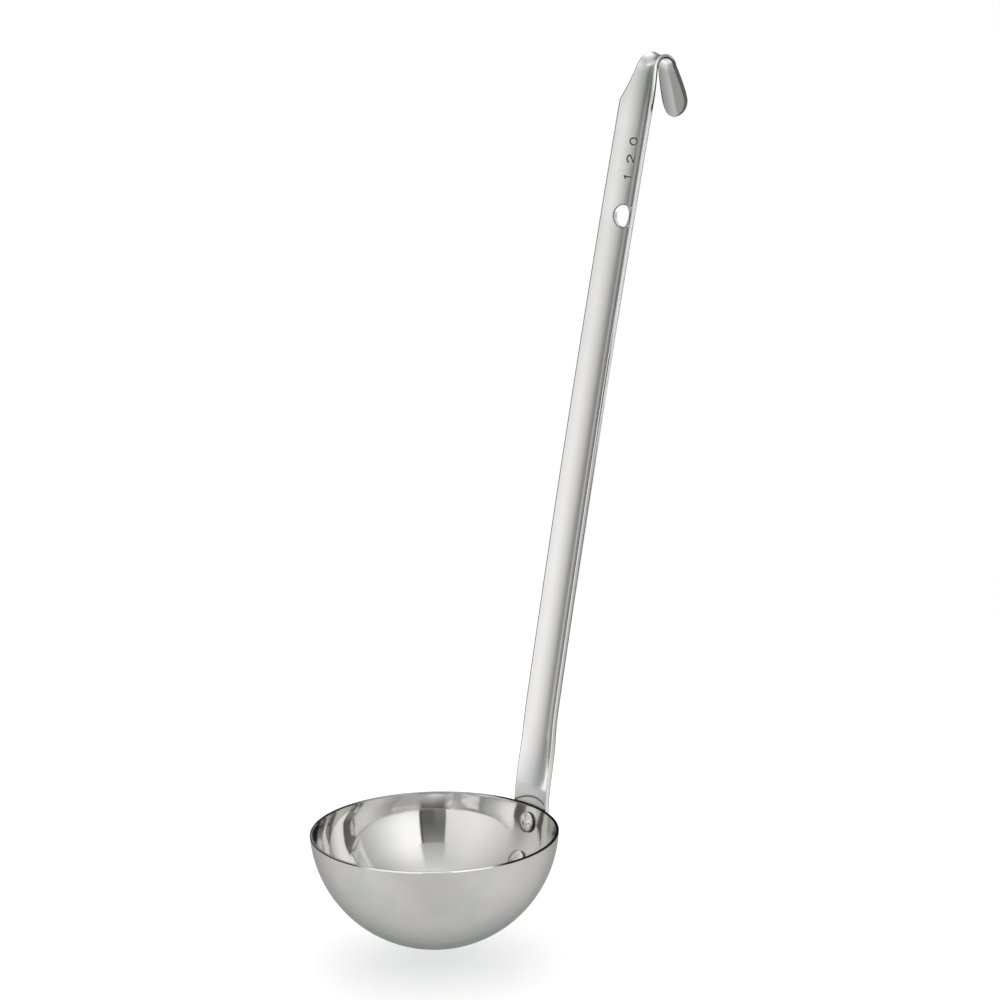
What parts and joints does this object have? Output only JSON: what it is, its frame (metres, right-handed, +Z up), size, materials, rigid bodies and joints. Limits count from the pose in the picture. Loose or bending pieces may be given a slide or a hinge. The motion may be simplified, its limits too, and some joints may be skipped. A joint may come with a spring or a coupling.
{
  "type": "soup ladle",
  "caption": "Stainless steel soup ladle: a deep round bowl riveted to a long gutter-shaped strip handle with a hanging hole and a hook bent back at its top.",
  "frame": {"origin": "centre of the hanging hole, on the hollow front face of the handle's strip", "axes": "+Z up along the bowl's axis, out of its mouth; +Y from the bowl towards its handle and on to the back of the hook; +X across the handle"},
  "size_m": [0.084, 0.1526, 0.2923],
  "materials": {
    "bowl_steel": "polished inside, satin outside",
    "handle_steel": "polished, with fine lengthways grain",
    "rivet_steel": "polished dome with forming marks"
  },
  "bodies": {
    "root": {"bowl": "bowl_steel", "handle": "handle_steel", "upper_rivet": "rivet_steel", "lower_rivet": "rivet_steel"}
  },
  "joints": []
}
